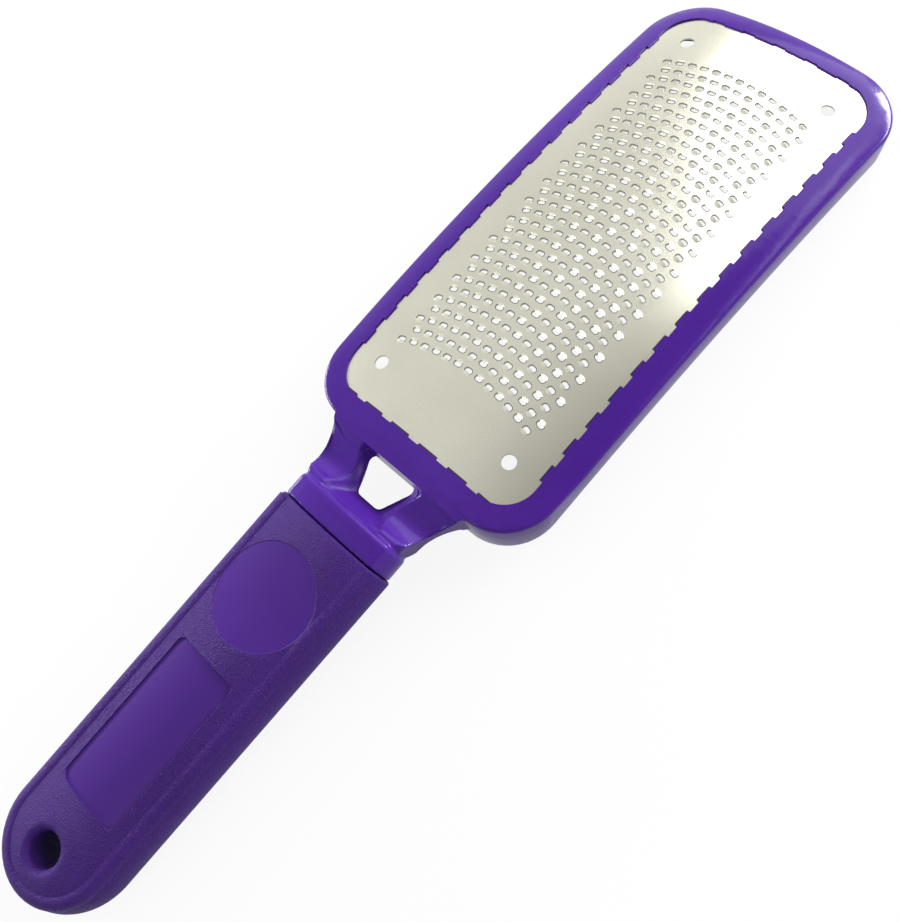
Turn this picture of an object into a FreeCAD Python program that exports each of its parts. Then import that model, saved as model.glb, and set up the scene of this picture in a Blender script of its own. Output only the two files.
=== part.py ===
import FreeCAD, Part
import math
import os

# Foot file: a domed, etched steel rasp plate moulded into a plastic head, with a two-legged neck,
# a collar and a tang, and a hollow grip that slides over the tang. Lengths are millimetres, angles
# degrees. The pieces are drawn about the crown of the plate, X to the tip, Y to the left, Z up, and
# then laid down on the surface the file rests on.

Vector = FreeCAD.Vector
across_axis = Vector(0, 1, 0)
up_axis = Vector(0, 0, 1)

# Overrun of cutting bodies past the faces they cut
overrun = 4.0

# Passes of the search for the angle at which the file lies
settling_passes = 6

# Rasp plate: a thin sheet, domed across and along
plate_thickness = 0.5
across_radius = 131.0
along_radius = 585.0
plate_seat_clearance = 0.05
plate_embed = 2.4

# Plate opening in the head, and the lip around it
opening_length = 132.0
opening_width = 56.6
opening_corner_radius = 8.8
lip_height = 0.4

# Rim of the head around the opening
side_rim = 5.2
tip_rim = 5.2
neck_rim = 5.8
head_corner_radius = 13.5
head_depth = 13.8
rim_top_radius = 0.9
rim_back_radius = 1.5
ledge_width = 1.0
ledge_thickness = 1.6
hollow_step = 2.8
hollow_corner_radius = 6.0

# Slots along the plate edge, which the plastic fills
side_slot_reach = 0.6
end_slot_reach = 0.35
slot_cover = 1.2
side_slot_count = 15
side_slot_pitch = 7.55
side_slot_length = 4.3
end_slot_count = 6
end_slot_pitch = 8.8
end_slot_length = 5.6

# Etched teeth: staggered, bowed rows of small windows
row_count = 31
row_pitch = 3.24
teeth_per_row = 13
tooth_pitch = 3.2
tooth_window_length = 2.0
tooth_window_width = 1.3
row_bow_radius = 71.0
teeth_offset = 2.56
stagger_share = 0.25

# Round holes near the corners of the plate
corner_hole_diameter = 3.5
corner_hole_spacing_along = 112.4
corner_hole_spacing_across = 40.0

# Neck: a web with flared sides, waisted along, and a tapered opening between its two legs
neck_half_width = 14.6
neck_root_half_width = 21.8
neck_flare_sag = 1.4
neck_root = 1.6
neck_thickness = 4.4
neck_depth = 7.9
neck_root_depth = 13.0
waist_radius = 9.0
waist_from_head = 6.4
neck_gap_from_head = 1.2
neck_gap_length = 9.2
neck_gap_rim_half_width = 7.3
neck_gap_grip_half_width = 3.3
neck_gap_corner_radius = 1.6
neck_gap_side_bevel = 2.4
neck_gap_grip_bevel = 2.2

# Grip axis: where it starts, and how far it droops towards its end
seam_from_head = 20.6
grip_axis_depth = 8.5
grip_droop_angle = 4.8

# Collar at the grip end of the neck
collar_length = 6.2
collar_half_width = 15.7
collar_shoulder_half_width = 13.3
collar_thickness = 16.4
collar_edge_radius = 1.4

# Tang inside the grip
tang_length = 68.0
tang_root_width = 18.0
tang_root_thickness = 9.0
tang_end_width = 14.0
tang_end_thickness = 7.0
tang_clearance = 0.15

# Grip: crowned top and bottom, bulged sides, round end
grip_length = 100.2
seam_gap = 0.3
grip_thickness = 17.4
grip_crown_radius = 40.0
grip_front_half_width = 16.3
grip_front_shoulder_half_width = 13.9
grip_end_half_width = 15.6
grip_end_shoulder_half_width = 13.3
shoulder_radius = 1.2
grip_mouth_radius = 0.6

# Thumb dimple, label recess and hang hole on the grip
dimple_diameter = 24.5
dimple_from_seam = 19.3
label_length = 38.4
label_width = 17.6
label_corner_radius = 2.2
label_depth = 0.4
label_from_seam = 56.2
hang_hole_diameter = 7.6
hang_hole_from_end = 12.2
hang_hole_rim_radius = 1.8


def line(start, end):
    return Part.LineSegment(start, end).toShape()


def arc(start, middle, end):
    return Part.Arc(start, middle, end).toShape()


def rounded_outline(x_low, x_high, half_width, radius):
    """Rounded rectangle in the XY plane, from x_low to x_high and half_width to each side."""
    diagonal = radius * (1 - math.sqrt(0.5))
    corners = [
        (Vector(x_high, half_width, 0), -1, -1),
        (Vector(x_low, half_width, 0), 1, -1),
        (Vector(x_low, -half_width, 0), 1, 1),
        (Vector(x_high, -half_width, 0), -1, 1),
    ]
    edges = []
    joints = []
    for index, (corner, inward_x, inward_y) in enumerate(corners):
        on_side = corner + Vector(0, inward_y * radius, 0)
        on_end = corner + Vector(inward_x * radius, 0, 0)
        middle = corner + Vector(inward_x * diagonal, inward_y * diagonal, 0)
        first, last = (on_side, on_end) if index % 2 == 0 else (on_end, on_side)
        edges.append(arc(first, middle, last))
        joints.append((first, last))
    for index, (first, last) in enumerate(joints):
        edges.append(line(last, joints[(index + 1) % len(joints)][0]))
    return Part.Wire(Part.__sortEdges__(edges))


def upright(wire, low, high):
    """Upright body on a level outline, between two heights."""
    face = Part.Face(wire)
    face.translate(Vector(0, 0, low))
    return face.extrude(Vector(0, 0, high - low))


# Places worked out from the sizes above
opening_half_length = opening_length / 2
opening_half_width = opening_width / 2
head_half_width = opening_half_width + side_rim
head_tip = opening_half_length + tip_rim
head_neck_end = -opening_half_length - neck_rim
hollow_inset = side_slot_reach + ledge_width
wall_inset = hollow_inset - hollow_step
dome_half_width = head_half_width + overrun
dome_reach = opening_half_length + neck_rim + seam_from_head
waist_x = head_neck_end - waist_from_head
low_cut = -head_depth - dome_reach ** 2 / along_radius
high_cut = lip_height + overrun


def dome_profile_edge(offset):
    """Crown line of a surface parallel to the plate top, and the height of its two ends."""
    radius = across_radius + offset
    end_height = math.sqrt(radius ** 2 - dome_half_width ** 2) - across_radius
    left = Vector(0, dome_half_width, end_height)
    right = Vector(0, -dome_half_width, end_height)
    return left, right, arc(left, Vector(0, 0, offset), right)


def swept_along(profile):
    """A profile across the head, swept along its lengthwise curve."""
    centre = Vector(0, 0, -along_radius)
    half_angle = math.degrees(math.asin(dome_reach / along_radius))
    face = Part.Face(profile)
    face.rotate(centre, across_axis, -half_angle)
    return face.revolve(centre, across_axis, 2 * half_angle)


def dome_block(offset):
    """Solid under a surface parallel to the plate top, down to the curved back of the head."""
    left, right, crown = dome_profile_edge(offset)
    left_foot = Vector(0, dome_half_width, -head_depth)
    right_foot = Vector(0, -dome_half_width, -head_depth)
    sides = [line(right, right_foot), line(right_foot, left_foot), line(left_foot, left)]
    return swept_along(Part.Wire([crown] + sides))


def dome_layer(low_offset, high_offset):
    """Layer between two surfaces parallel to the plate top."""
    low_left, low_right, low_crown = dome_profile_edge(low_offset)
    high_left, high_right, high_crown = dome_profile_edge(high_offset)
    edges = [high_crown, line(high_right, low_right), low_crown, line(low_left, high_left)]
    return swept_along(Part.Wire(Part.__sortEdges__(edges)))


def edge_slots(shrink):
    """Upright bodies of the slots along the plate edge, smaller by shrink on every side."""
    side_depth = side_slot_reach + slot_cover - 2 * shrink
    end_depth = end_slot_reach + slot_cover - 2 * shrink
    side_length = side_slot_length - 2 * shrink
    end_length = end_slot_length - 2 * shrink
    height = high_cut - low_cut
    slots = []
    for index in range(side_slot_count):
        x = (index - (side_slot_count - 1) / 2) * side_slot_pitch - side_length / 2
        for y in (opening_half_width - side_slot_reach + shrink, -opening_half_width - slot_cover + shrink):
            slots.append(Part.makeBox(side_length, side_depth, height, Vector(x, y, low_cut)))
    for index in range(end_slot_count):
        y = (index - (end_slot_count - 1) / 2) * end_slot_pitch - end_length / 2
        for x in (opening_half_length - end_slot_reach + shrink, -opening_half_length - slot_cover + shrink):
            slots.append(Part.makeBox(end_depth, end_length, height, Vector(x, y, low_cut)))
    return Part.makeCompound(slots)


def plate_outline(grow):
    reach = plate_embed + grow
    return rounded_outline(-opening_half_length - reach, opening_half_length + reach,
                           opening_half_width + reach, opening_corner_radius + reach)


def tooth_window(centre, turn):
    """Slot-shaped window outline, its long side along the row."""
    half_width = tooth_window_width / 2
    half_straight = (tooth_window_length - tooth_window_width) / 2
    a = Vector(half_width, -half_straight, 0)
    b = Vector(half_width, half_straight, 0)
    c = Vector(-half_width, half_straight, 0)
    d = Vector(-half_width, -half_straight, 0)
    left_tip = Vector(0, half_straight + half_width, 0)
    right_tip = Vector(0, -half_straight - half_width, 0)
    wire = Part.Wire([line(a, b), arc(b, left_tip, c), line(c, d), arc(d, right_tip, a)])
    wire.rotate(Vector(0, 0, 0), up_axis, turn)
    wire.translate(centre)
    return wire


def window_outlines():
    """Every window and hole of the plate, drawn level."""
    outlines = []
    for row in range(row_count):
        shift = stagger_share if row % 2 == 0 else -stagger_share
        for column in range(teeth_per_row):
            y = ((teeth_per_row - 1) / 2 - column + shift) * tooth_pitch
            turn = math.asin(y / row_bow_radius)
            bow = row_bow_radius * (1 - math.cos(turn))
            x = teeth_offset + (row - (row_count - 1) / 2) * row_pitch - bow
            outlines.append(tooth_window(Vector(x, y, 0), math.degrees(turn)))
    for side_x in (-1, 1):
        for side_y in (-1, 1):
            x = side_x * corner_hole_spacing_along / 2
            y = side_y * corner_hole_spacing_across / 2
            circle = Part.Circle(Vector(x, y, 0), up_axis, corner_hole_diameter / 2)
            outlines.append(Part.Wire(circle.toShape()))
    return outlines


def make_plate():
    slots = edge_slots(0)
    body = upright(plate_outline(0), low_cut, high_cut).cut(slots)
    sheet = dome_layer(-plate_thickness, 0).common(body)
    punches = []
    for outline in window_outlines():
        punches.append(upright(outline, low_cut, high_cut))
    return sheet.cut(Part.makeCompound(punches))


def head_blank():
    """Solid head with its outer edges rounded: domed top, upright sides, back curved along only."""
    outline = rounded_outline(head_neck_end, head_tip, head_half_width, head_corner_radius)
    blank = dome_block(lip_height).common(upright(outline, low_cut, high_cut))
    top = [face for face in blank.Faces if face.Surface.TypeId == "Part::GeomToroid"]
    blank = blank.makeFillet(rim_top_radius, top[0].Edges)
    rounds = [face for face in blank.Faces if face.Surface.TypeId == "Part::GeomCylinder"]
    back = max(rounds, key=lambda face: abs(face.Surface.Axis.y))
    return blank.makeFillet(rim_back_radius, back.Edges)


def make_ring():
    """Rim of the head: lip over the plate edge, seat for it, thin ledge under it and open back."""
    ring = head_blank()
    pins = edge_slots(plate_seat_clearance)
    seat = upright(plate_outline(plate_seat_clearance), low_cut, high_cut).cut(pins)
    seat_layer = dome_layer(-plate_thickness - plate_seat_clearance, plate_seat_clearance)
    ring = ring.cut(seat_layer.common(seat))
    opening = rounded_outline(-opening_half_length, opening_half_length,
                              opening_half_width, opening_corner_radius)
    window = upright(opening, low_cut, high_cut).cut(pins)
    ring = ring.cut(dome_layer(-plate_thickness / 2, high_cut).common(window))
    hollow = rounded_outline(hollow_inset - opening_half_length, opening_half_length - hollow_inset,
                             opening_half_width - hollow_inset, opening_corner_radius - hollow_inset)
    below = upright(hollow, low_cut - overrun, high_cut)
    ring = ring.cut(below.cut(dome_layer(-plate_thickness / 2, high_cut + overrun)))
    walls = rounded_outline(wall_inset - opening_half_length, opening_half_length - wall_inset,
                            opening_half_width - wall_inset, hollow_corner_radius)
    behind = upright(walls, low_cut - overrun, high_cut)
    return ring.cut(behind.cut(dome_layer(-plate_thickness - ledge_thickness, high_cut + overrun)))


def grip_placement():
    """Frame of the grip: its origin is on the axis at the seam, X towards the tip."""
    origin = Vector(head_neck_end - seam_from_head, 0, -grip_axis_depth)
    return FreeCAD.Placement(origin, FreeCAD.Rotation(across_axis, -grip_droop_angle))


def section_corners(x, half_width, shoulder, thickness, crown_radius):
    """Points of a crowned section across the grip axis: shoulders, crown, belly and side bulges."""
    half = thickness / 2
    drop = crown_radius - math.sqrt(crown_radius ** 2 - shoulder ** 2)
    return {
        "top_left": Vector(x, shoulder, half - drop),
        "top": Vector(x, 0, half),
        "top_right": Vector(x, -shoulder, half - drop),
        "right": Vector(x, -half_width, 0),
        "low_right": Vector(x, -shoulder, drop - half),
        "bottom": Vector(x, 0, -half),
        "low_left": Vector(x, shoulder, drop - half),
        "left": Vector(x, half_width, 0),
    }


def crowned_section(x, half_width, shoulder, thickness, crown_radius):
    p = section_corners(x, half_width, shoulder, thickness, crown_radius)
    return Part.Wire([
        arc(p["top_left"], p["top"], p["top_right"]),
        arc(p["top_right"], p["right"], p["low_right"]),
        arc(p["low_right"], p["bottom"], p["low_left"]),
        arc(p["low_left"], p["left"], p["top_left"]),
    ])


def make_collar():
    section = crowned_section(0, collar_half_width, collar_shoulder_half_width,
                              collar_thickness, grip_crown_radius)
    block = Part.Face(section).extrude(Vector(collar_length, 0, 0))
    front = [edge for edge in block.Edges if edge.BoundBox.XMin > collar_length / 2]
    return block.makeFillet(collar_edge_radius, front)


def waist_scoop(side, swell):
    """Barrel across the neck that hollows its top or its back, thicker by swell towards its ends."""
    height = side * (neck_thickness / 2 + waist_radius) - neck_depth
    axis = Vector(waist_x, 0, height)
    left_axis = axis + Vector(0, head_half_width, 0)
    left_rim = left_axis + Vector(0, 0, waist_radius + swell)
    middle = axis + Vector(0, 0, waist_radius)
    bulge = arc(left_rim, middle, mirrored(left_rim)) if swell else line(left_rim, mirrored(left_rim))
    ends = [line(left_axis, left_rim), bulge, line(mirrored(left_rim), mirrored(left_axis))]
    barrel = Part.Wire([line(mirrored(left_axis), left_axis)] + ends)
    return Part.Face(barrel).revolve(axis, across_axis, 360)


def make_nose():
    """Slope from the front of the collar down to the waist of the neck."""
    inset = collar_edge_radius
    shoulder_share = collar_shoulder_half_width / collar_half_width
    back = crowned_section(collar_length - inset, collar_half_width - inset,
                           (collar_half_width - inset) * shoulder_share,
                           collar_thickness - 2 * inset, grip_crown_radius)
    front = crowned_section(waist_x, neck_root_half_width, neck_root_half_width - inset,
                            neck_thickness + 2 * inset, across_radius)
    front.translate(Vector(0, 0, -neck_depth))
    return Part.makeLoft([placed(back), front], True, True)


def tang_outline(x, width, thickness):
    half_width = width / 2
    half = thickness / 2
    corners = [
        Vector(x, half_width, half),
        Vector(x, -half_width, half),
        Vector(x, -half_width, -half),
        Vector(x, half_width, -half),
    ]
    return Part.makePolygon(corners + corners[:1])


def tang_body(start, length, grow):
    """Tapered bar from start on the grip axis to length behind the seam, larger by grow all round."""
    slope_width = (tang_end_width - tang_root_width) / tang_length
    slope_thickness = (tang_end_thickness - tang_root_thickness) / tang_length
    sections = []
    for x in (start, -length):
        width = tang_root_width - slope_width * x + 2 * grow
        thickness = tang_root_thickness - slope_thickness * x + 2 * grow
        sections.append(tang_outline(x, width, thickness))
    return Part.makeLoft(sections, True, True)


def mirrored(point):
    return Vector(point.x, -point.y, point.z)


def neck_outline():
    """Level outline of the neck: hollow sides that widen from the collar to the rim of the head."""
    back = Vector(head_neck_end - seam_from_head + collar_length / 2, neck_half_width, 0)
    root = Vector(head_neck_end + neck_root, neck_root_half_width, 0)
    middle = (back + root) / 2 - Vector(0, neck_flare_sag, 0)
    return Part.Wire([
        line(mirrored(back), back),
        arc(back, middle, root),
        line(root, mirrored(root)),
        arc(mirrored(root), mirrored(middle), mirrored(back)),
    ])


def rounded_corner(before, corner, after, radius):
    """Arc of the given radius at a corner of an outline: its start, middle and end."""
    inward = (before - corner).normalize()
    outward = (after - corner).normalize()
    half_angle = inward.getAngle(outward) / 2
    setback = radius / math.tan(half_angle)
    middle = corner + (inward + outward).normalize() * (radius / math.sin(half_angle) - radius)
    return corner + inward * setback, middle, corner + outward * setback


def gap_outline(z, bevel_share):
    """Opening between the legs at one height, widened there by a share of its bevels."""
    rim_x = head_neck_end - neck_gap_from_head
    grip_x = rim_x - neck_gap_length - bevel_share * neck_gap_grip_bevel
    rim_half = neck_gap_rim_half_width + bevel_share * neck_gap_side_bevel
    grip_half = neck_gap_grip_half_width + bevel_share * neck_gap_side_bevel
    corners = [Vector(rim_x, rim_half, z), Vector(rim_x, -rim_half, z),
               Vector(grip_x, -grip_half, z), Vector(grip_x, grip_half, z)]
    rounds = []
    for index, corner in enumerate(corners):
        after = corners[(index + 1) % len(corners)]
        rounds.append(rounded_corner(corners[index - 1], corner, after, neck_gap_corner_radius))
    edges = []
    for index, (start, middle, end) in enumerate(rounds):
        edges.append(arc(start, middle, end))
        edges.append(line(end, rounds[(index + 1) % len(rounds)][0]))
    return Part.Wire(edges)


def neck_gap():
    """Body of the opening between the legs: narrowest at mid thickness, bevelled up and down."""
    half = neck_thickness / 2
    beyond = half + overrun
    middle = gap_outline(-neck_depth, 0)
    upper = gap_outline(beyond - neck_depth, beyond / half)
    lower = gap_outline(-beyond - neck_depth, beyond / half)
    return Part.makeLoft([middle, upper], True, True).fuse(Part.makeLoft([middle, lower], True, True))


def make_neck():
    """Web from the rim of the head to the collar, waisted, with the opening that leaves two legs."""
    web = upright(neck_outline(), -neck_root_depth, high_cut)
    rim_side = Part.makeBox(waist_from_head + neck_root, 2 * head_half_width, high_cut - low_cut,
                            Vector(waist_x, -head_half_width, low_cut))
    under_rim = dome_block(lip_height - plate_seat_clearance)
    neck = web.common(rim_side).common(under_rim).fuse(web.common(make_nose()))
    crown_swell = across_radius - math.sqrt(across_radius ** 2 - head_half_width ** 2)
    for cutter in (waist_scoop(1, crown_swell), waist_scoop(-1, 0), neck_gap()):
        neck = neck.cut(cutter)
    return neck


def placed(shape):
    """A body drawn on the grip axis, moved to where the grip is."""
    return shape.transformed(grip_placement().toMatrix())


def make_head_frame():
    frame = make_ring()
    tang = tang_body(collar_length / 2, tang_length, 0)
    for body in (make_neck(), placed(make_collar()), placed(tang)):
        frame = frame.fuse(body)
    return frame.removeSplitter()


def long_level_edges(shape):
    """Edges that run nearly level for some way: the shoulder lines of the grip."""
    boxes = [(edge, edge.BoundBox) for edge in shape.Edges]
    return [edge for edge, box in boxes
            if box.ZLength < shoulder_radius and box.DiagonalLength > grip_thickness]


def grip_shell():
    """Outer body of the grip: tapering sides from the seam, and a round end."""
    end_centre = grip_end_half_width - grip_length
    front = crowned_section(-seam_gap, grip_front_half_width, grip_front_shoulder_half_width,
                            grip_thickness, grip_crown_radius)
    back = crowned_section(end_centre, grip_end_half_width, grip_end_shoulder_half_width,
                           grip_thickness, grip_crown_radius)
    straight = Part.makeLoft([front, back], True, True)
    p = section_corners(end_centre, grip_end_half_width, grip_end_shoulder_half_width,
                        grip_thickness, grip_crown_radius)
    half_shoulder = grip_end_shoulder_half_width / 2
    half_drop = grip_crown_radius - math.sqrt(grip_crown_radius ** 2 - half_shoulder ** 2)
    crown_middle = Vector(end_centre, half_shoulder, grip_thickness / 2 - half_drop)
    belly_middle = Vector(end_centre, half_shoulder, half_drop - grip_thickness / 2)
    half_section = Part.Wire([
        line(p["bottom"], p["top"]),
        arc(p["top"], crown_middle, p["top_left"]),
        arc(p["top_left"], p["left"], p["low_left"]),
        arc(p["low_left"], belly_middle, p["bottom"]),
    ])
    end = Part.Face(half_section).revolve(Vector(end_centre, 0, 0), up_axis, 180)
    shell = straight.fuse(end).removeSplitter()
    shell = shell.makeFillet(shoulder_radius, long_level_edges(shell))
    mouth = [edge for edge in shell.Edges if edge.BoundBox.XMin > -seam_gap - grip_mouth_radius]
    return shell.makeFillet(grip_mouth_radius, mouth)


def is_hang_hole_rim(edge, hole_x):
    """True for the edges where the hang hole breaks through the top and the belly of the grip."""
    box = edge.BoundBox
    reach = hang_hole_diameter / 2 + shoulder_radius
    near = abs(box.XMin - hole_x) < reach and abs(box.XMax - hole_x) < reach
    return near and box.YLength > hang_hole_diameter / 2 and box.ZLength < shoulder_radius


def make_grip():
    grip = grip_shell()
    top = grip_thickness / 2
    dimple_depth = dimple_diameter ** 2 / (8 * grip_crown_radius)
    dimple_axis_height = top - dimple_depth + grip_crown_radius
    dimple = Part.makeCylinder(grip_crown_radius, 2 * grip_front_half_width,
                               Vector(-dimple_from_seam, -grip_front_half_width, dimple_axis_height),
                               across_axis)
    label = rounded_outline(-label_from_seam - label_length / 2, label_length / 2 - label_from_seam,
                            label_width / 2, label_corner_radius)
    floor_radius = grip_crown_radius - label_depth
    floor = Part.makeCylinder(floor_radius, grip_length,
                              Vector(0, 0, top - grip_crown_radius), Vector(-1, 0, 0))
    recess = upright(label, 0, top + overrun).cut(floor)
    hole_x = hang_hole_from_end - grip_length
    hole = Part.makeCylinder(hang_hole_diameter / 2, grip_thickness + 2 * overrun,
                             Vector(hole_x, 0, -top - overrun))
    socket = tang_body(overrun, tang_length + tang_clearance, tang_clearance)
    grip = grip.cut(hole)
    rims = [edge for edge in grip.Edges if is_hang_hole_rim(edge, hole_x)]
    grip = grip.makeFillet(hang_hole_rim_radius, rims)
    for cutter in (dimple, recess, socket):
        grip = grip.cut(cutter)
    return grip


def turned(shape, angle):
    """A piece tipped about the crown of the plate, its tip going down."""
    turn = FreeCAD.Placement(Vector(0, 0, 0), FreeCAD.Rotation(across_axis, angle))
    return shape.transformed(turn.toMatrix())


def rest_angle(head, grip):
    """Angle at which the tip of the head and the end of the grip are equally low."""
    reach = head_tip - head_neck_end + seam_from_head + grip_length
    angle = 0
    for _ in range(settling_passes):
        lean = box_of(turned(head, angle)).ZMin - box_of(turned(grip, angle)).ZMin
        angle += math.degrees(math.atan(lean / reach))
    return angle


def box_of(shape):
    return shape.optimalBoundingBox(False, False)


def laid_down(nodes):
    """The pieces turned and moved so that the file lies on level ground, its middle over the origin."""
    angle = rest_angle(nodes["head_frame"], nodes["grip"])
    lying = {}
    for name, shape in nodes.items():
        lying[name] = turned(shape, angle)
    boxes = [box_of(lying[name]) for name in ("head_frame", "grip")]
    middle = (min(box.XMin for box in boxes) + max(box.XMax for box in boxes)) / 2
    lowest = min(box.ZMin for box in boxes)
    print("turned by", round(angle, 3), "moved by", round(-middle, 3), round(-lowest, 3))
    for shape in lying.values():
        shape.translate(Vector(-middle, 0, -lowest))
    return lying


def main():
    nodes = laid_down({
        "rasp_plate": make_plate(),
        "head_frame": make_head_frame(),
        "grip": placed(make_grip()),
    })
    os.makedirs("parts", exist_ok=True)
    for name, shape in nodes.items():
        shape.exportStep("parts/" + name + ".step")
        print(name, len(shape.Solids), "solid", round(shape.Volume), "cubic mm", shape.isValid())


main()
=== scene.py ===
from math import asin, copysign, cos, radians, sin, sqrt
import bpy
import bmesh
from mathutils import Matrix, Vector


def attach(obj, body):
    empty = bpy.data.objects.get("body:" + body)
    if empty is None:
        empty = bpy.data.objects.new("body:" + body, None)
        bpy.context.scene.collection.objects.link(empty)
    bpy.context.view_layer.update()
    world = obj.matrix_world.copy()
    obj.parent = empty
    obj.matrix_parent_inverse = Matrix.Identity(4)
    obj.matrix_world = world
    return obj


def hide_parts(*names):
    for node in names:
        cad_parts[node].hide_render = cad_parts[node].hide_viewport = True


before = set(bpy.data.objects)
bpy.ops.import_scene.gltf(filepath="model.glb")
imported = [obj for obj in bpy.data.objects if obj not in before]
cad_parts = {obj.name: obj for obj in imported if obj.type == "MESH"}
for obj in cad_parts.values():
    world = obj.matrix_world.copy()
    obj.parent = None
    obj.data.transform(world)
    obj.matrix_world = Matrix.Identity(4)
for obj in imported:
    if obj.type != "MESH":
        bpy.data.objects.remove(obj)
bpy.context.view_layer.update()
mm = 0.001

# Where the head and the grip lie in the frame, and the dome of the plate (mm and degrees)

lie = {"turn": 1.414, "shift": (60.781, 0.0, 19.772)}
gripAxis = {"turn": -3.386, "shift": (-31.80, 0.0, 13.555)}
dome = {"acrossRadius": 131.0, "alongRadius": 585.0}


def placing(axis):
    return Matrix.Translation(Vector(axis["shift"]) * mm) @ Matrix.Rotation(radians(axis["turn"]), 4, "Y")


def domeHeight(x, y):
    return (sqrt(dome["acrossRadius"] ** 2 - y ** 2) - dome["acrossRadius"]
            + sqrt(dome["alongRadius"] ** 2 - x ** 2) - dome["alongRadius"])


def domeSag(x, y):  # near enough for the rim
    return -x ** 2 / (2 * dome["alongRadius"]) - y ** 2 / (2 * dome["acrossRadius"])


lieDown = placing(lie)
lieTurn = lieDown.to_3x3()
unlie = lieDown.inverted()
gripSpace = placing(gripAxis)
alongHead = lieTurn @ Vector((1, 0, 0))
alongGrip = gripSpace.to_3x3() @ Vector((1, 0, 0))


# Mesh helpers

weld = {"copy": 2e-6, "cut": 1e-6, "plane": 1e-7}  # metres


def clamped(value):
    return min(1.0, max(0.0, value))


def only(geom, kind):
    return [item for item in geom if isinstance(item, kind)]


def edgesOf(verts):
    return list(dict.fromkeys(edge for vert in verts for edge in vert.link_edges))


def mergedCopy(node):
    bm = bmesh.new()
    bm.from_mesh(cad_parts[node].data)
    bm.transform(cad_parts[node].matrix_world)
    bmesh.ops.remove_doubles(bm, verts=bm.verts[:], dist=weld["copy"])
    return bm


def keepSide(bm, spot, facing):
    cut = bmesh.ops.bisect_plane(bm, geom=bm.verts[:] + bm.edges[:] + bm.faces[:], dist=weld["plane"],
                                 plane_co=spot, plane_no=facing, clear_inner=True)
    edges = only(cut["geom_cut"], bmesh.types.BMEdge)
    bmesh.ops.triangle_fill(bm, edges=edges, use_beauty=True, normal=facing)
    bmesh.ops.remove_doubles(bm, verts=bm.verts[:], dist=weld["cut"])
    bmesh.ops.recalc_face_normals(bm, faces=bm.faces[:])


def creaseBy(bm, angle):
    for face in bm.faces:
        face.smooth = True
    for edge in bm.edges:
        edge.smooth = len(edge.link_faces) == 2 and edge.calc_face_angle(0.0) < radians(angle)


def newMesh(bm, name):
    mesh = bpy.data.meshes.new(name)
    bm.to_mesh(mesh)
    bm.free()
    return mesh


def newObject(name, data):
    thing = bpy.data.objects.new(name, data)
    bpy.context.scene.collection.objects.link(thing)
    return thing


def asPiece(bm, name, material):
    piece = newObject(name, newMesh(bm, name))
    piece.data.materials.append(material)
    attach(piece, "root")
    return piece


# Shader helpers

def newMaterial(name):
    mat = bpy.data.materials.new(name)
    mat.use_nodes = True
    return mat, mat.node_tree, mat.node_tree.nodes["Principled BSDF"]


def newGroup(name, **outputs):
    group = bpy.data.node_groups.new(name, "ShaderNodeTree")
    for tone in ("Light tone", "Dark tone"):
        group.interface.new_socket(tone, in_out="INPUT", socket_type="NodeSocketColor")
    for label, kind in outputs.items():
        group.interface.new_socket(label, in_out="OUTPUT", socket_type=kind)
    return group, group.nodes.new("NodeGroupInput"), group.nodes.new("NodeGroupOutput")


def groupOutputs(tree, group, light, dark):
    node = tree.nodes.new("ShaderNodeGroup")
    node.node_tree = group
    node.inputs["Light tone"].default_value = (*light, 1)
    node.inputs["Dark tone"].default_value = (*dark, 1)
    return node.outputs


def feed(tree, value, socket):
    if isinstance(value, bpy.types.NodeSocket):
        tree.links.new(value, socket)
    else:
        socket.default_value = value


def sums(tree, how, *values):
    node = tree.nodes.new("ShaderNodeMath")
    node.operation = how
    for value, socket in zip(values, node.inputs):
        feed(tree, value, socket)
    return node.outputs[0]


def spread(tree, value, low, high, toLow, toHigh):
    node = tree.nodes.new("ShaderNodeMapRange")
    node.interpolation_type = "SMOOTHSTEP"
    for item, socket in zip((value, low, high, toLow, toHigh), node.inputs):
        feed(tree, item, socket)
    return node.outputs[0]


def noise(tree, where, scale, detail=2, rough=0.5):
    node = tree.nodes.new("ShaderNodeTexNoise")
    feed(tree, where, node.inputs["Vector"])
    node.inputs["Scale"].default_value = scale
    node.inputs["Detail"].default_value = detail
    node.inputs["Roughness"].default_value = rough
    return node.outputs["Fac"]


def blend(tree, factor, first, second):
    node = tree.nodes.new("ShaderNodeMix")
    node.data_type = "RGBA"
    feed(tree, factor, node.inputs[0])
    feed(tree, first, node.inputs[6])  # the colour inputs
    feed(tree, second, node.inputs[7])
    return node.outputs[2]


def raised(tree, height, strength, depth):
    node = tree.nodes.new("ShaderNodeBump")
    node.inputs["Strength"].default_value = strength
    node.inputs["Distance"].default_value = depth * mm
    feed(tree, height, node.inputs["Height"])
    return node.outputs["Normal"]


def objectSpot(tree, shift=(0, 0, 0), turn=(0, 0, 0), scale=(1, 1, 1), kind="POINT"):
    coords = tree.nodes.new("ShaderNodeTexCoord")
    mapping = tree.nodes.new("ShaderNodeMapping")
    mapping.vector_type = kind
    mapping.inputs["Location"].default_value = shift
    mapping.inputs["Rotation"].default_value = turn
    mapping.inputs["Scale"].default_value = scale
    tree.links.new(coords.outputs["Object"], mapping.inputs["Vector"])
    return mapping.outputs[0]


# Moulding marks that both plastics share

moulding = {"swirl": 48, "swirlStretch": (0.35, 1, 1), "swirlSpan": (0.3, 0.7), "swirlShare": 0.75,
            "fleck": 2600, "fleckSpan": (0.35, 0.65), "fleckShare": 0.25,
            "hair": 1500, "hairTurn": (0, 0, 0.5), "hairStretch": (0.05, 1, 1), "hairSpan": (0.62, 0.74),
            "patch": 90, "patchSpan": (0.45, 0.65)}


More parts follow.
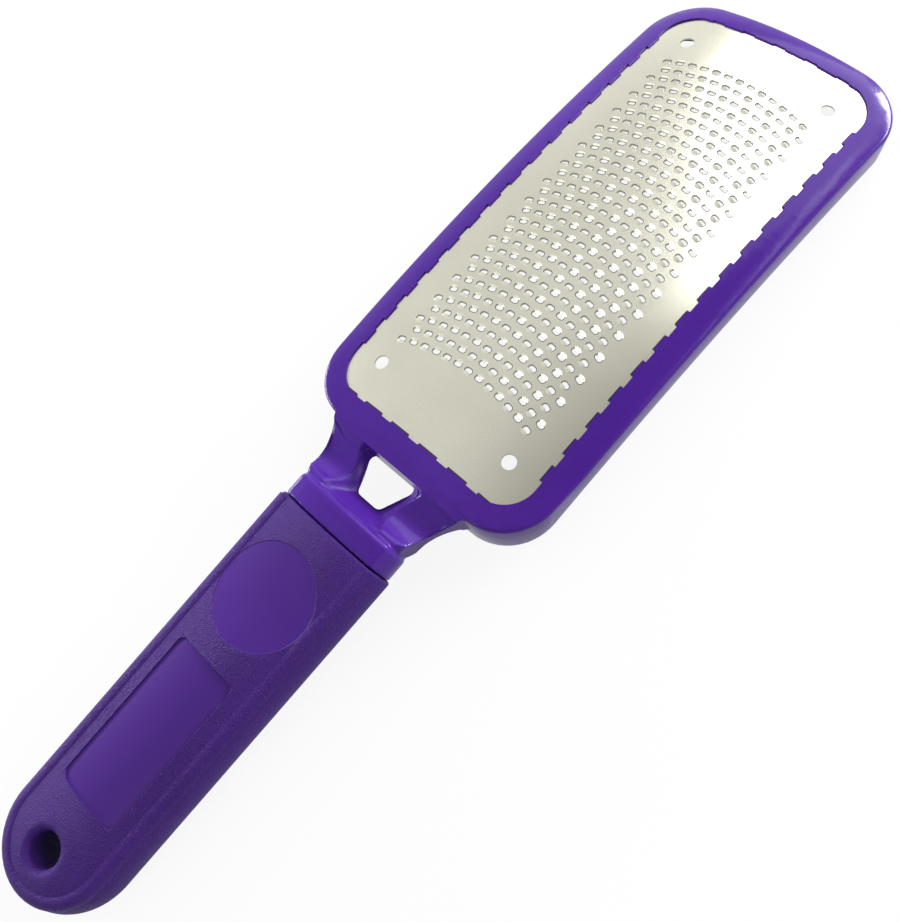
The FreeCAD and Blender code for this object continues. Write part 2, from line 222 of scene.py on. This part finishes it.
def mouldedPlastic():
    group, entry, leave = newGroup("mouldedPlastic", Color="NodeSocketColor", Scuffs="NodeSocketFloat")
    spot = objectSpot(group)
    along = objectSpot(group, scale=moulding["swirlStretch"])
    swirl = noise(group, along, moulding["swirl"], detail=3)  # slow swirls of pigment along the part
    fleck = noise(group, spot, moulding["fleck"])  # pigment specks
    tone = sums(group, "ADD", spread(group, swirl, *moulding["swirlSpan"], 0, moulding["swirlShare"]),
                spread(group, fleck, *moulding["fleckSpan"], 0, moulding["fleckShare"]))
    feed(group, blend(group, tone, entry.outputs[0], entry.outputs[1]), leave.inputs["Color"])
    slant = objectSpot(group, turn=moulding["hairTurn"], scale=moulding["hairStretch"])
    hair = noise(group, slant, moulding["hair"])  # hairline scuffs
    patch = noise(group, spot, moulding["patch"])  # where the scuffs gather
    scuffs = sums(group, "MULTIPLY", spread(group, hair, *moulding["hairSpan"], 0, 1),
                  spread(group, patch, *moulding["patchSpan"], 0, 1))
    feed(group, scuffs, leave.inputs["Scuffs"])
    return group


plasticGroup = mouldedPlastic()


# Glossy purple of the frame and neck

framePaint = {"light": (0.077, 0.019, 0.290), "dark": (0.058, 0.013, 0.229), "rough": 0.16,
              "roughScuffed": 0.21, "ior": 1.42, "specular": 0.24,
              "peel": 420, "peelStrength": 0.12, "peelDepth": 0.4}


def glossyPurple():
    mat, tree, skin = newMaterial("glossyPurple")
    tone, scuffs = groupOutputs(tree, plasticGroup, framePaint["light"], framePaint["dark"])
    feed(tree, tone, skin.inputs["Base Color"])
    rough = spread(tree, scuffs, 0, 1, framePaint["rough"], framePaint["roughScuffed"])
    feed(tree, rough, skin.inputs["Roughness"])
    skin.inputs["IOR"].default_value = framePaint["ior"]
    skin.inputs["Specular IOR Level"].default_value = framePaint["specular"]
    peel = noise(tree, objectSpot(tree), framePaint["peel"])  # slight waviness of the moulding
    wavy = raised(tree, peel, framePaint["peelStrength"], framePaint["peelDepth"])
    feed(tree, wavy, skin.inputs["Normal"])
    return mat


# Grained purple of the grip, smooth in the thumb dimple and on the panel, with a painted lighter tone there
# in place of the shade the grain casts elsewhere

gripPaint = {"light": (0.060, 0.0155, 0.206), "dark": (0.044, 0.011, 0.157),
             "smooth": (0.088, 0.025, 0.290), "dimpleLitShare": 0.45, "panelLitShare": 0.3,
             "rough": 0.5, "roughSmooth": 0.36, "roughScuffed": 0.08, "ior": 1.4, "specular": 0.22,
             "grain": 3000, "fineGrain": 5200, "fineRough": 0.6,
             "grainStrength": 0.8, "grainDepth": 0.3, "grainLeft": 0.06,
             "dimple": -19.3, "dimpleRadius": 12.25, "dimpleEdge": 0.4,
             "panel": -56.2, "panelHalf": (19.2, 8.8), "panelEdge": 0.3, "topFrom": 4.5, "topTo": 5.5}


def within(tree, distance, limit, edge):
    return spread(tree, distance, (limit - edge) * mm, limit * mm, 1, 0)


def grainedPurple():
    mat, tree, skin = newMaterial("grainedPurple")
    spot = objectSpot(tree, shift=Vector(gripAxis["shift"]) * mm, turn=(0, radians(gripAxis["turn"]), 0),
                      kind="TEXTURE")
    axes = tree.nodes.new("ShaderNodeSeparateXYZ")
    feed(tree, spot, axes.inputs[0])
    along, across, up = axes.outputs
    reach = sums(tree, "SUBTRACT", along, gripPaint["dimple"] * mm)
    squares = sums(tree, "ADD", sums(tree, "POWER", reach, 2), sums(tree, "POWER", across, 2))
    away = sums(tree, "SQRT", squares)
    dimple = within(tree, away, gripPaint["dimpleRadius"], gripPaint["dimpleEdge"])
    halfLong, halfWide = gripPaint["panelHalf"]
    offPanel = sums(tree, "ABSOLUTE", sums(tree, "SUBTRACT", along, gripPaint["panel"] * mm))
    panel = sums(tree, "MULTIPLY", within(tree, offPanel, halfLong, gripPaint["panelEdge"]),
                 within(tree, sums(tree, "ABSOLUTE", across), halfWide, gripPaint["panelEdge"]))
    onTop = spread(tree, up, gripPaint["topFrom"] * mm, gripPaint["topTo"] * mm, 0, 1)
    smooth = sums(tree, "MULTIPLY", sums(tree, "MAXIMUM", dimple, panel), onTop)
    tone, scuffs = groupOutputs(tree, plasticGroup, gripPaint["light"], gripPaint["dark"])
    # the smooth colour is painted light, a lighter copy of the grip's purple, not a different plastic
    share = sums(tree, "MAXIMUM", sums(tree, "MULTIPLY", dimple, gripPaint["dimpleLitShare"]),
                 sums(tree, "MULTIPLY", panel, gripPaint["panelLitShare"]))
    paintedPaler = sums(tree, "MULTIPLY", onTop, share)  # painted light: lighter where no grain shades it
    feed(tree, blend(tree, paintedPaler, tone, (*gripPaint["smooth"], 1)), skin.inputs["Base Color"])
    rough = sums(tree, "ADD", spread(tree, smooth, 0, 1, gripPaint["rough"], gripPaint["roughSmooth"]),
                 sums(tree, "MULTIPLY", scuffs, gripPaint["roughScuffed"]))
    feed(tree, rough, skin.inputs["Roughness"])
    skin.inputs["IOR"].default_value = gripPaint["ior"]
    skin.inputs["Specular IOR Level"].default_value = gripPaint["specular"]
    leather = tree.nodes.new("ShaderNodeTexVoronoi")
    leather.feature = "SMOOTH_F1"
    leather.inputs["Scale"].default_value = gripPaint["grain"]
    feed(tree, spot, leather.inputs["Vector"])
    fine = noise(tree, spot, gripPaint["fineGrain"], rough=gripPaint["fineRough"])
    pits = sums(tree, "ADD", leather.outputs["Distance"], fine)
    height = sums(tree, "MULTIPLY", pits, spread(tree, smooth, 0, 1, 1, gripPaint["grainLeft"]))
    grained = raised(tree, height, gripPaint["grainStrength"], gripPaint["grainDepth"])
    feed(tree, grained, skin.inputs["Normal"])
    return mat


# Etched steel of the plate, with a painted highlight on the lips and painted shade on the window walls and
# edges

steelPaint = {"light": (0.95, 0.93, 0.79), "dark": (0.87, 0.85, 0.71), "rough": 0.22, "roughWorn": 0.27,
              "lifts": {"etchedSteel": 1.0, "litLipSteel": 1.1, "edgeShade": 0.1, "shadedWindowWall": 0.5},
              "rolled": 2200, "rolledStretch": (0.04, 1, 1), "rolledRough": 0.4, "rolledHigh": 0.25,
              "cloud": 60, "cloudSpan": (0.3, 0.7), "cloudShare": 0.6,
              "speck": 3000, "speckSpan": (0.35, 0.65), "speckShare": 0.4,
              "roughSpan": (0.45, 0.95), "bumpStrength": 0.05, "bumpDepth": 0.08}


def rolledSteel():
    group, entry, leave = newGroup("rolledSteel", Color="NodeSocketColor", Roughness="NodeSocketFloat",
                                   Normal="NodeSocketVector")
    spot = objectSpot(group)
    along = objectSpot(group, scale=steelPaint["rolledStretch"])
    rolled = noise(group, along, steelPaint["rolled"], detail=3)  # rolling lines along the sheet
    cloud = noise(group, spot, steelPaint["cloud"], detail=3)
    speck = noise(group, spot, steelPaint["speck"])
    tone = sums(group, "ADD", spread(group, cloud, *steelPaint["cloudSpan"], 0, steelPaint["cloudShare"]),
                spread(group, speck, *steelPaint["speckSpan"], 0, steelPaint["speckShare"]))
    feed(group, blend(group, tone, entry.outputs[0], entry.outputs[1]), leave.inputs["Color"])
    wear = sums(group, "ADD", sums(group, "MULTIPLY", rolled, steelPaint["rolledRough"]), speck)
    rough = spread(group, wear, *steelPaint["roughSpan"], steelPaint["rough"], steelPaint["roughWorn"])
    feed(group, rough, leave.inputs["Roughness"])
    height = sums(group, "ADD", sums(group, "MULTIPLY", rolled, steelPaint["rolledHigh"]), speck)
    lined = raised(group, height, steelPaint["bumpStrength"], steelPaint["bumpDepth"])
    feed(group, lined, leave.inputs["Normal"])
    return group


steelGroup = rolledSteel()


def etchedSteel(name):
    mat, tree, skin = newMaterial(name)
    lift = steelPaint["lifts"][name]
    light, dark = ([min(1.0, part * lift) for part in steelPaint[tone]] for tone in ("light", "dark"))
    tone, rough, lined = groupOutputs(tree, steelGroup, light, dark)
    feed(tree, tone, skin.inputs["Base Color"])
    feed(tree, rough, skin.inputs["Roughness"])
    feed(tree, lined, skin.inputs["Normal"])
    skin.inputs["Metallic"].default_value = 1.0
    return mat


purpleGloss = glossyPurple()
purpleGrain = grainedPurple()
steel = etchedSteel("etchedSteel")
# the lips get a painted highlight: a lighter copy of the steel
steelLipLit = etchedSteel("litLipSteel")
# window borders and slot gaps get painted shade: a near-black copy of the steel
steelEdgeShade = etchedSteel("edgeShade")
# window walls get painted shade: a darker copy of the steel
steelWallShade = etchedSteel("shadedWindowWall")
print("materials ready")


# Frame around the plate, with the rim's far end at the neck crease

rim = {"neckEnd": -73.25, "crease": 24,
       "tipFrom": 50.0, "below": -12.0, "cornerAt": (61.2, 23.5), "cornerRadius": 6.0,
       "near": 0.08, "draft": 2.4,
       "openingCorner": (57.2, 19.5), "openingRadius": 8.8, "flatTo": 0.8, "wallAt": 5.2, "topAbove": -8.0,
       "drop": 0.9, "dropCurve": 1.4, "flare": 0.6, "fadeFrom": -50.0, "fadeTo": -64.0}


def outwards(flat, corner):
    return Vector([copysign(max(0.0, abs(value) - limit), value) for value, limit in zip(flat, corner)])


def openWall(bm):
    for vert in bm.verts:
        flat = (unlie @ vert.co) / mm
        out = outwards(flat, rim["cornerAt"])
        past = out.length - rim["cornerRadius"]  # how far behind the inner wall
        if -rim["near"] < past < rim["draft"] and flat.x > rim["tipFrom"] and flat.z < rim["below"]:
            vert.co += lieTurn @ (out.normalized() * (rim["draft"] - past) * mm).to_3d()


def leanRim(bm):
    for vert in bm.verts:
        flat = (unlie @ vert.co) / mm
        out = outwards(flat, rim["openingCorner"])
        share = (out.length - rim["openingRadius"] - rim["flatTo"]) / (rim["wallAt"] - rim["flatTo"])
        if share > 0 and flat.z - domeSag(flat.x, flat.y) > rim["topAbove"]:
            fade = clamped((flat.x - rim["fadeTo"]) / (rim["fadeFrom"] - rim["fadeTo"]))
            lean = out.normalized() * rim["flare"] * share * fade
            fall = rim["drop"] * share ** rim["dropCurve"] * fade
            vert.co += lieTurn @ (Vector((lean.x, lean.y, -fall)) * mm)


bm = mergedCopy("head_frame")
keepSide(bm, lieDown @ Vector((rim["neckEnd"] * mm, 0, 0)), alongHead)
openWall(bm)  # the inner wall opens out downwards at the tip
leanRim(bm)  # the outer edge is lower and further out
creaseBy(bm, rim["crease"])
frameRim = asPiece(bm, "frameRim", purpleGloss)
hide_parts("head_frame")
print("frame rim:", len(frameRim.data.polygons), "faces")


# Neck with its two legs and the collar, softened like the moulding

neck = {"headEnd": -70.6, "seam": 0.02, "voxel": 0.2, "softening": 10, "softenBy": 0.5,
        "waistFrom": -73.4, "waistTo": -85.6, "waistDrop": 0.9, "facingFrom": 0.2, "facingOver": 0.3,
        "sinkFrom": -75.6, "sinkOver": 2.0, "sink": 0.34, "sinkAbove": -6.0}

bm = mergedCopy("head_frame")
keepSide(bm, lieDown @ Vector((neck["headEnd"] * mm, 0, 0)), -alongHead)
keepSide(bm, gripSpace @ Vector((neck["seam"] * mm, 0, 0)), alongGrip)
neckLegs = asPiece(bm, "neckLegs", purpleGloss)
remesh = neckLegs.modifiers.new("soften", "REMESH")
remesh.mode = "VOXEL"
remesh.voxel_size = neck["voxel"] * mm
remesh.use_smooth_shade = True
dense = bpy.data.meshes.new_from_object(neckLegs.evaluated_get(bpy.context.evaluated_depsgraph_get()))
neckLegs.modifiers.clear()
bm = bmesh.new()
bm.from_mesh(dense)
for turn in range(neck["softening"]):
    bmesh.ops.smooth_vert(bm, verts=bm.verts[:], factor=neck["softenBy"],
                          use_axis_x=True, use_axis_y=True, use_axis_z=True)
bm.normal_update()
for vert in bm.verts:
    flat = unlie @ vert.co
    share = (flat.x / mm - neck["waistFrom"]) / (neck["waistTo"] - neck["waistFrom"])
    if 0 < share < 1:
        facing = clamped((vert.normal.z - neck["facingFrom"]) / neck["facingOver"])
        vert.co.z -= neck["waistDrop"] * mm * sin(radians(180) * share) * facing  # deeper waist
    past = flat.x / mm - neck["sinkFrom"]
    if past > 0 and flat.z > neck["sinkAbove"] * mm:
        vert.co.z -= min(1.0, past / neck["sinkOver"]) * neck["sink"] * mm  # dips under the rim
for face in bm.faces:
    face.smooth = True
bm.to_mesh(neckLegs.data)
bm.free()
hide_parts("head_frame")
print("neck:", len(neckLegs.data.polygons), "faces")


# Grip

grip = {"crease": 32}

bm = mergedCopy("grip")
creaseBy(bm, grip["crease"])
gripBody = asPiece(bm, "gripBody", purpleGrain)
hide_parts("grip")
print("grip:", len(gripBody.data.polygons), "faces")


# Soft bead along the shoulders and round the end of the grip

bead = {"start": -0.9, "turnAt": -84.6, "frontY": 12.9, "endY": 12.3, "radius": 2.2, "proud": 0.42,
        "crown": 40.0, "top": 8.7, "sideSteps": 20, "endSteps": 24, "around": 20, "crease": 60}


def besideGrip(step, side, turn):
    share = step / bead["sideSteps"]
    return (bead["start"] + (bead["turnAt"] - bead["start"]) * share,
            side * (bead["frontY"] + (bead["endY"] - bead["frontY"]) * share), turn)


def beadPath():
    for step in range(bead["sideSteps"]):
        yield besideGrip(step, 1, 0.0)
    for step in range(bead["endSteps"] + 1):
        turn = radians(180 * step / bead["endSteps"])
        yield bead["turnAt"] - bead["endY"] * sin(turn), bead["endY"] * cos(turn), turn
    for step in reversed(range(bead["sideSteps"])):
        yield besideGrip(step, -1, radians(180))


def beadSpot(x, y, turn):
    out = bead["endY"] if 0 < turn < radians(180) else abs(y)
    shoulder = bead["top"] - bead["crown"] + sqrt(bead["crown"] ** 2 - out ** 2)
    spot = Vector((x, y, shoulder + bead["proud"] - bead["radius"])) * mm
    return Matrix.Translation(spot) @ Matrix.Rotation(turn, 4, "Z") @ Matrix.Rotation(radians(90), 4, "Y")


bm = bmesh.new()
spots = [beadSpot(*point) for point in beadPath()]
ring = bmesh.ops.create_circle(bm, cap_ends=True, segments=bead["around"], radius=bead["radius"] * mm,
                               matrix=spots[0])["verts"]
edges = edgesOf(ring)
for before, after in zip(spots, spots[1:]):
    grown = bmesh.ops.extrude_edge_only(bm, edges=edges)["geom"]
    bmesh.ops.transform(bm, matrix=after @ before.inverted(), verts=only(grown, bmesh.types.BMVert))
    edges = only(grown, bmesh.types.BMEdge)
bmesh.ops.contextual_create(bm, geom=edges)
bmesh.ops.recalc_face_normals(bm, faces=bm.faces[:])
bm.transform(gripSpace)
creaseBy(bm, bead["crease"])
gripBead = asPiece(bm, "gripBead", purpleGrain)
print("grip bead:", len(gripBead.data.polygons), "faces")


# Etched plate

plate = {"crease": 30, "wallBelow": 0.6}

bm = mergedCopy("rasp_plate")
creaseBy(bm, plate["crease"])
for face in bm.faces:
    face.material_index = 1 if abs(face.normal.z) < plate["wallBelow"] else 0  # walls take the darker painted-shade steel
etchedPlate = asPiece(bm, "etchedPlate", steel)
etchedPlate.data.materials.append(steelWallShade)
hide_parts("rasp_plate")
print("plate:", len(etchedPlate.data.polygons), "faces")


# Raised lips of the teeth, turned about from one tooth to the next

teeth = {"rows": 31, "columns": 13, "rowPitch": 3.24, "pitch": 3.2, "stagger": 0.25, "centre": 2.56,
         "fan": 71.0, "long": 2.0, "wide": 1.3, "lipSteps": (3, 4),
         "lipDeep": 0.55, "lipHigh": 0.26, "lipThick": 0.08,
         "lipShorter": 0.15, "lipLift": 0.02, "lipRise": 1.3, "overhang": 0.36,
         "endDeep": 0.35, "taper": 0.96,
         "rimSteps": 18, "rimWide": 0.13, "rimHigh": 0.03, "rimLow": 0.005, "crease": 50}


def shapeLip(bm):
    stepsOut, stepsAlong = teeth["lipSteps"]
    bmesh.ops.create_grid(bm, x_segments=stepsOut, y_segments=stepsAlong, size=0.5)
    for vert in bm.verts:
        alongLip = vert.co.y  # across the file, the long way of the window
        out = vert.co.x + 0.5  # 0 at the root of the lip, 1 at its cutting edge
        bulge = sqrt(max(0.0, 1 - (2 * alongLip) ** 2 * teeth["taper"]))
        deep = teeth["lipDeep"] * (teeth["endDeep"] + (1 - teeth["endDeep"]) * bulge)
        vert.co = Vector((-teeth["wide"] / 2 - deep * (1 - out) + teeth["overhang"] * out * bulge,
                          alongLip * (teeth["long"] - teeth["lipShorter"]),
                          teeth["lipLift"] + teeth["lipHigh"] * bulge * out ** teeth["lipRise"])) * mm
    bmesh.ops.solidify(bm, geom=bm.faces[:], thickness=teeth["lipThick"] * mm)
    bmesh.ops.recalc_face_normals(bm, faces=bm.faces[:])


# a thin dark ring round each window, as painted shade
def shapeBorder(bm):
    ring = bmesh.ops.create_circle(bm, segments=teeth["rimSteps"], radius=teeth["wide"] / 2 * mm)["verts"]
    for vert in ring:
        vert.co.y += (teeth["long"] - teeth["wide"]) / 2 * mm * (1 if vert.co.y > 0 else -1)
        vert.co.z = teeth["rimHigh"] * mm
    edges = edgesOf(ring)
    grown = bmesh.ops.extrude_edge_only(bm, edges=edges)["geom"]
    for vert in only(grown, bmesh.types.BMVert):
        vert.co.x *= 1 + 2 * teeth["rimWide"] / teeth["wide"]
        vert.co.y *= 1 + 2 * teeth["rimWide"] / teeth["long"]
        vert.co.z = teeth["rimLow"] * mm
    for face in only(grown, bmesh.types.BMFace):
        face.material_index = 1  # border of the window, in painted shade
        if face.normal.z < 0:
            face.normal_flip()


def toothLip():
    bm = bmesh.new()
    shapeLip(bm)
    shapeBorder(bm)
    return newMesh(bm, "toothLip")


def toothSpots():
    for row in range(teeth["rows"]):
        for column in range(teeth["columns"]):
            stagger = teeth["stagger"] if row % 2 == 0 else -teeth["stagger"]
            y = (teeth["columns"] // 2 - column + stagger) * teeth["pitch"]
            fan = asin(y / teeth["fan"])
            x = teeth["centre"] + (row - teeth["rows"] // 2) * teeth["rowPitch"]
            x -= teeth["fan"] * (1 - cos(fan))
            slope = Vector((x / dome["alongRadius"], y / dome["acrossRadius"], 1))
            tilt = Vector((0, 0, 1)).rotation_difference(slope)
            about = 180 if (row + column) % 2 else 0
            yield (Matrix.Translation(Vector((x, y, domeHeight(x, y))) * mm) @ tilt.to_matrix().to_4x4()
                   @ Matrix.Rotation(fan + radians(about), 4, "Z"))


lipMesh = toothLip()
bm = bmesh.new()
for spot in toothSpots():
    before = len(bm.verts)
    bm.from_mesh(lipMesh)
    bm.verts.ensure_lookup_table()
    bmesh.ops.transform(bm, matrix=lieDown @ spot, verts=bm.verts[before:])
creaseBy(bm, teeth["crease"])
# lips in the painted-highlight steel, window borders in the painted-shade steel
toothLips = asPiece(bm, "toothLips", steelLipLit)
toothLips.data.materials.append(steelEdgeShade)
print("tooth lips:", len(toothLips.data.polygons), "faces")


# Painted shadow: dark strips in the gaps where the plastic comes through the plate edge

gaps = {"halfLong": 66.0, "halfWide": 28.3, "sideCount": 15, "sidePitch": 7.55, "sideLong": 4.3,
        "sideReach": 0.6, "endCount": 6, "endPitch": 8.8, "endLong": 5.6, "endReach": 0.35,
        "wide": 0.3, "lift": 0.03, "steps": 2}


def inRow(count, pitch):
    return [(index - (count - 1) / 2) * pitch for index in range(count)]


def gapShadowStrips():
    for x in inRow(gaps["sideCount"], gaps["sidePitch"]):
        yield x, -(gaps["halfWide"] - gaps["sideReach"] - gaps["wide"] / 2), gaps["sideLong"], gaps["wide"]
    for y in inRow(gaps["endCount"], gaps["endPitch"]):
        yield -(gaps["halfLong"] - gaps["endReach"] - gaps["wide"] / 2), y, gaps["wide"], gaps["endLong"]


bm = bmesh.new()
for x, y, longWay, wideWay in gapShadowStrips():
    grown = bmesh.ops.create_grid(bm, x_segments=gaps["steps"], y_segments=gaps["steps"], size=0.5)["verts"]
    for vert in grown:
        flatX, flatY = x + vert.co.x * longWay, y + vert.co.y * wideWay
        vert.co = lieDown @ (Vector((flatX, flatY, domeHeight(flatX, flatY) + gaps["lift"])) * mm)
slotGapShadows = asPiece(bm, "slotGapShadows", steelEdgeShade)
print("slot gaps:", len(slotGapShadows.data.polygons), "faces")


# Floor, backdrop, light and camera (metres)

studio = {"floorSize": 4, "floorRough": 0.9, "floorTone": 0.2, "floorSeen": 0.94,
          "shadow": 0.12, "shadowMirrored": 0.5,
          "worldLeft": 0.66, "worldRight": 0.1, "rightToLeft": (-0.6, 0.4), "horizon": (0.22, 0.5)}
lamps = (  # name, spot, aim, direction of the width, width, height, watts
    ("tipWindow", (0.63, 0.0, 0.42), (0.06, 0.0, 0.02), (0.385, 0.737, -0.555), 0.60, 0.45, 2.5),
    ("leftWindow", (-0.22, 0.62, 0.12), (-0.07, 0.0, 0.01), (1.0, 0.0, 0.0), 0.40, 0.16, 4.4),
    ("lowFront", (0.75, -0.25, 0.20), (-0.02, 0.0, 0.01), (0.3, 1.0, 0.0), 0.40, 0.14, 6.0),
    ("ridgeStrip", (0.42, -0.40, 0.46), (0.06, -0.03, 0.02), (1.0, 0.5, 0.0), 0.50, 0.06, 0.5),
    ("overHandle", (-0.55, -0.06, 0.58), (-0.02, 0.0, 0.01), (0.0, 1.0, 0.0), 0.16, 0.14, 0.5))
view = {"spot": (-0.02714, -0.08608, 0.19472), "right": (0.6652, -0.7140, -0.2182),
        "down": (-0.7366, -0.5800, -0.3478), "ahead": (0.1218, 0.3921, -0.9118),
        "lens": 34.87, "sensor": 36, "nearest": 0.005}


def paleFloor():
    bm = bmesh.new()
    bmesh.ops.create_grid(bm, x_segments=1, y_segments=1, size=studio["floorSize"])
    floor = newObject("floor", newMesh(bm, "floor"))
    mat, tree, skin = newMaterial("paleFloor")
    path = tree.nodes.new("ShaderNodeLightPath").outputs
    mirrored = sums(tree, "MAXIMUM", path["Is Glossy Ray"], path["Is Transmission Ray"])
    seen = sums(tree, "MAXIMUM", path["Is Camera Ray"], mirrored)
    tone = spread(tree, seen, 0, 1, studio["floorTone"], studio["floorSeen"])
    feed(tree, tone, skin.inputs["Base Color"])
    skin.inputs["Roughness"].default_value = studio["floorRough"]
    white = tree.nodes.new("ShaderNodeEmission")
    mix = tree.nodes.new("ShaderNodeMixShader")
    whiteSeen = sums(tree, "MULTIPLY", path["Is Camera Ray"], 1 - studio["shadow"])
    whiteMirrored = sums(tree, "MULTIPLY", mirrored, 1 - studio["shadowMirrored"])
    feed(tree, sums(tree, "MAXIMUM", whiteSeen, whiteMirrored), mix.inputs[0])
    feed(tree, skin.outputs[0], mix.inputs[1])
    feed(tree, white.outputs[0], mix.inputs[2])
    feed(tree, mix.outputs[0], tree.nodes["Material Output"].inputs["Surface"])
    floor.data.materials.append(mat)


def paleWorld():
    world = bpy.data.worlds.new("studio")
    world.use_nodes = True
    tree = world.node_tree
    back = tree.nodes["Background"]
    back.inputs["Color"].default_value = (1, 1, 1, 1)
    axes = tree.nodes.new("ShaderNodeSeparateXYZ")
    feed(tree, tree.nodes.new("ShaderNodeTexCoord").outputs["Generated"], axes.inputs[0])
    sides = studio["worldRight"], studio["worldLeft"]
    ceiling = spread(tree, axes.outputs["Y"], *studio["rightToLeft"], *sides)  # dimmer on the right
    walls = spread(tree, axes.outputs["Z"], *studio["horizon"], 1.0, ceiling)  # white near the horizon
    feed(tree, walls, back.inputs["Strength"])
    bpy.context.scene.world = world


def lamp(name, spot, aim, edge, wide, high, power):
    light = bpy.data.lights.new(name, "AREA")
    light.shape = "RECTANGLE"
    light.size = wide
    light.size_y = high
    light.energy = power
    holder = newObject(name, light)
    back = (Vector(spot) - Vector(aim)).normalized()
    side = (Vector(edge) - back * back.dot(Vector(edge))).normalized()
    columns = (side, back.cross(side), back)
    holder.matrix_world = Matrix.Translation(spot) @ Matrix(columns).transposed().to_4x4()


def camera():
    eye = bpy.data.cameras.new("view")
    eye.lens = view["lens"]
    eye.sensor_width = view["sensor"]
    eye.clip_start = view["nearest"]
    holder = newObject("view", eye)
    columns = (Vector(view["right"]), -Vector(view["down"]), -Vector(view["ahead"]))
    holder.matrix_world = Matrix.Translation(view["spot"]) @ Matrix(columns).transposed().to_4x4()
    bpy.context.scene.camera = holder


paleFloor()
paleWorld()
for settings in lamps:
    lamp(*settings)
camera()
bpy.context.scene.view_settings.view_transform = "Standard"
print("studio ready")
